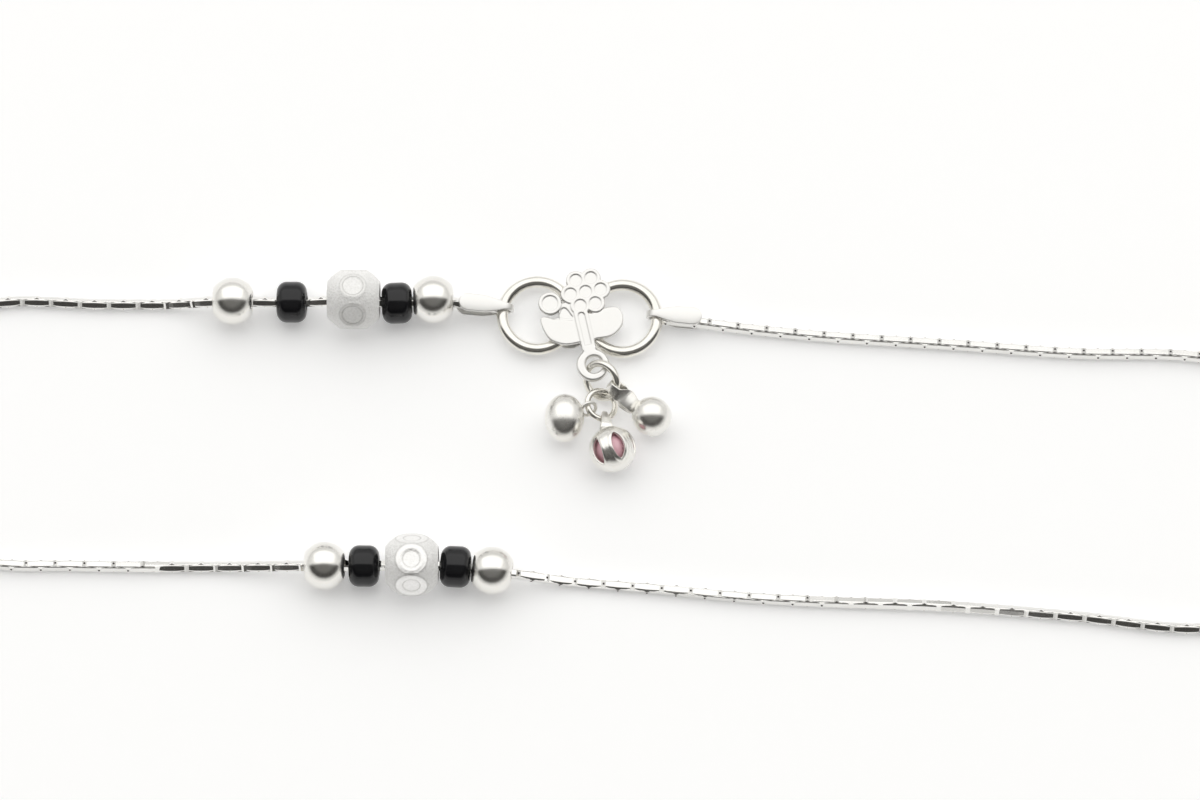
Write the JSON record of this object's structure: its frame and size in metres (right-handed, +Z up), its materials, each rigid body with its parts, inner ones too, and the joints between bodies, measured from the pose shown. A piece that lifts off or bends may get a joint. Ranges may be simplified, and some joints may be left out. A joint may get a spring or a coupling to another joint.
{
  "type": "payal anklet",
  "caption": "Square-link silver chain loop with bead groups, a flower clasp between two wire rings, and small ball drops.",
  "frame": {"origin": "centre of the lying anklet's box, on the surface that it lies on", "axes": "+X along the loop from the bead groups to the plain end, +Y from the lower strand to the clasp, +Z up"},
  "size_m": [0.1222, 0.031, 0.0055],
  "materials": {
    "chain_silver": "polished silver",
    "bead_silver": "softly polished silver",
    "black_glass": "glossy opaque",
    "frosted_silver": "frosted silver",
    "ring_silver": "polished silver",
    "plate_silver": "satin silver",
    "pink_glass": "satin opaque"
  },
  "bodies": {
    "root": {"chain_left": "chain_silver", "chain_right": "chain_silver", "bead_silver_1": "bead_silver", "bead_silver_2": "bead_silver", "bead_silver_3": "bead_silver", "bead_silver_4": "bead_silver", "bead_black_1": "black_glass", "bead_black_2": "black_glass", "bead_black_3": "black_glass", "bead_black_4": "black_glass", "bead_large_1": "frosted_silver", "bead_large_2": "frosted_silver", "clasp_ring_left": "ring_silver", "clasp_ring_right": "ring_silver", "end_tab_left": "plate_silver", "end_tab_right": "plate_silver", "clasp_flower": "plate_silver", "drop_ring": "ring_silver", "carrier_ring": "ring_silver", "drop_ball_left": "bead_silver", "drop_ball_right": "bead_silver", "drop_ball_pierced": "bead_silver", "drop_core": "pink_glass"}
  },
  "joints": []
}
